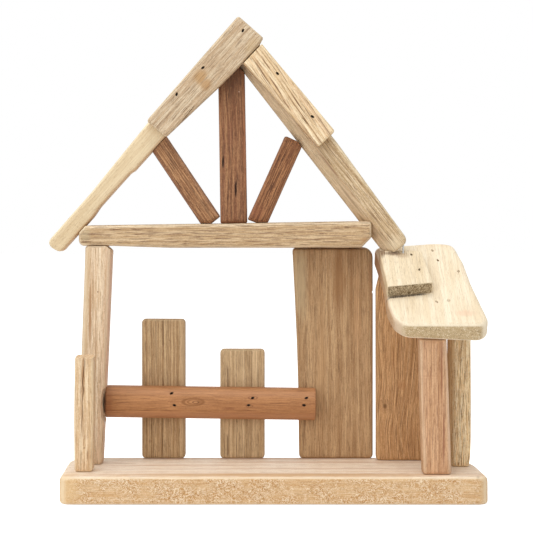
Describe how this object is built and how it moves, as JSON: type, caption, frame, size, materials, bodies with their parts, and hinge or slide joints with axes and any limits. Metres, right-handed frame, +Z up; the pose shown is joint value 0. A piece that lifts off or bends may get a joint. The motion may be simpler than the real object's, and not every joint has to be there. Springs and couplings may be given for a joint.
{
  "type": "nativity stable",
  "caption": "Open wooden nativity stable with a pinned gable of rafters and struts, a fence with a rail and a sloping lean-to on one base board.",
  "frame": {"origin": "middle of the base board's underside", "axes": "+X along the base board to the lean-to's side, +Y from the open front to the back boards, +Z up"},
  "size_m": [0.2827, 0.0863, 0.3109],
  "materials": {
    "base_wood": "satin",
    "pale_wood": "satin",
    "brown_wood": "satin",
    "red_wood": "satin",
    "cream_wood": "satin",
    "brad_steel": "brushed"
  },
  "bodies": {
    "root": {"base_board": "base_wood", "left_corner_post": "pale_wood", "left_front_stake": "pale_wood", "left_fence_board": "brown_wood", "middle_fence_board": "brown_wood", "fence_rail": "red_wood", "back_wall_board": "brown_wood", "tie_beam": "pale_wood", "king_post": "red_wood", "left_strut": "red_wood", "right_strut": "red_wood", "left_rafter": "pale_wood", "right_rafter": "pale_wood", "left_ridge_board": "pale_wood", "right_ridge_board": "pale_wood", "lean_to_back_board": "brown_wood", "lean_to_front_post": "brown_wood", "lean_to_side_post": "brown_wood", "lean_to_roof": "cream_wood", "roof_batten": "brown_wood", "ridge_board_brads": "brad_steel", "rail_brads": "brad_steel", "roof_brads": "brad_steel", "batten_brads": "brad_steel", "rafter_foot_brad": "brad_steel", "gable_brads": "brad_steel", "beam_brads": "brad_steel", "base_nails": "brad_steel"}
  },
  "joints": []
}
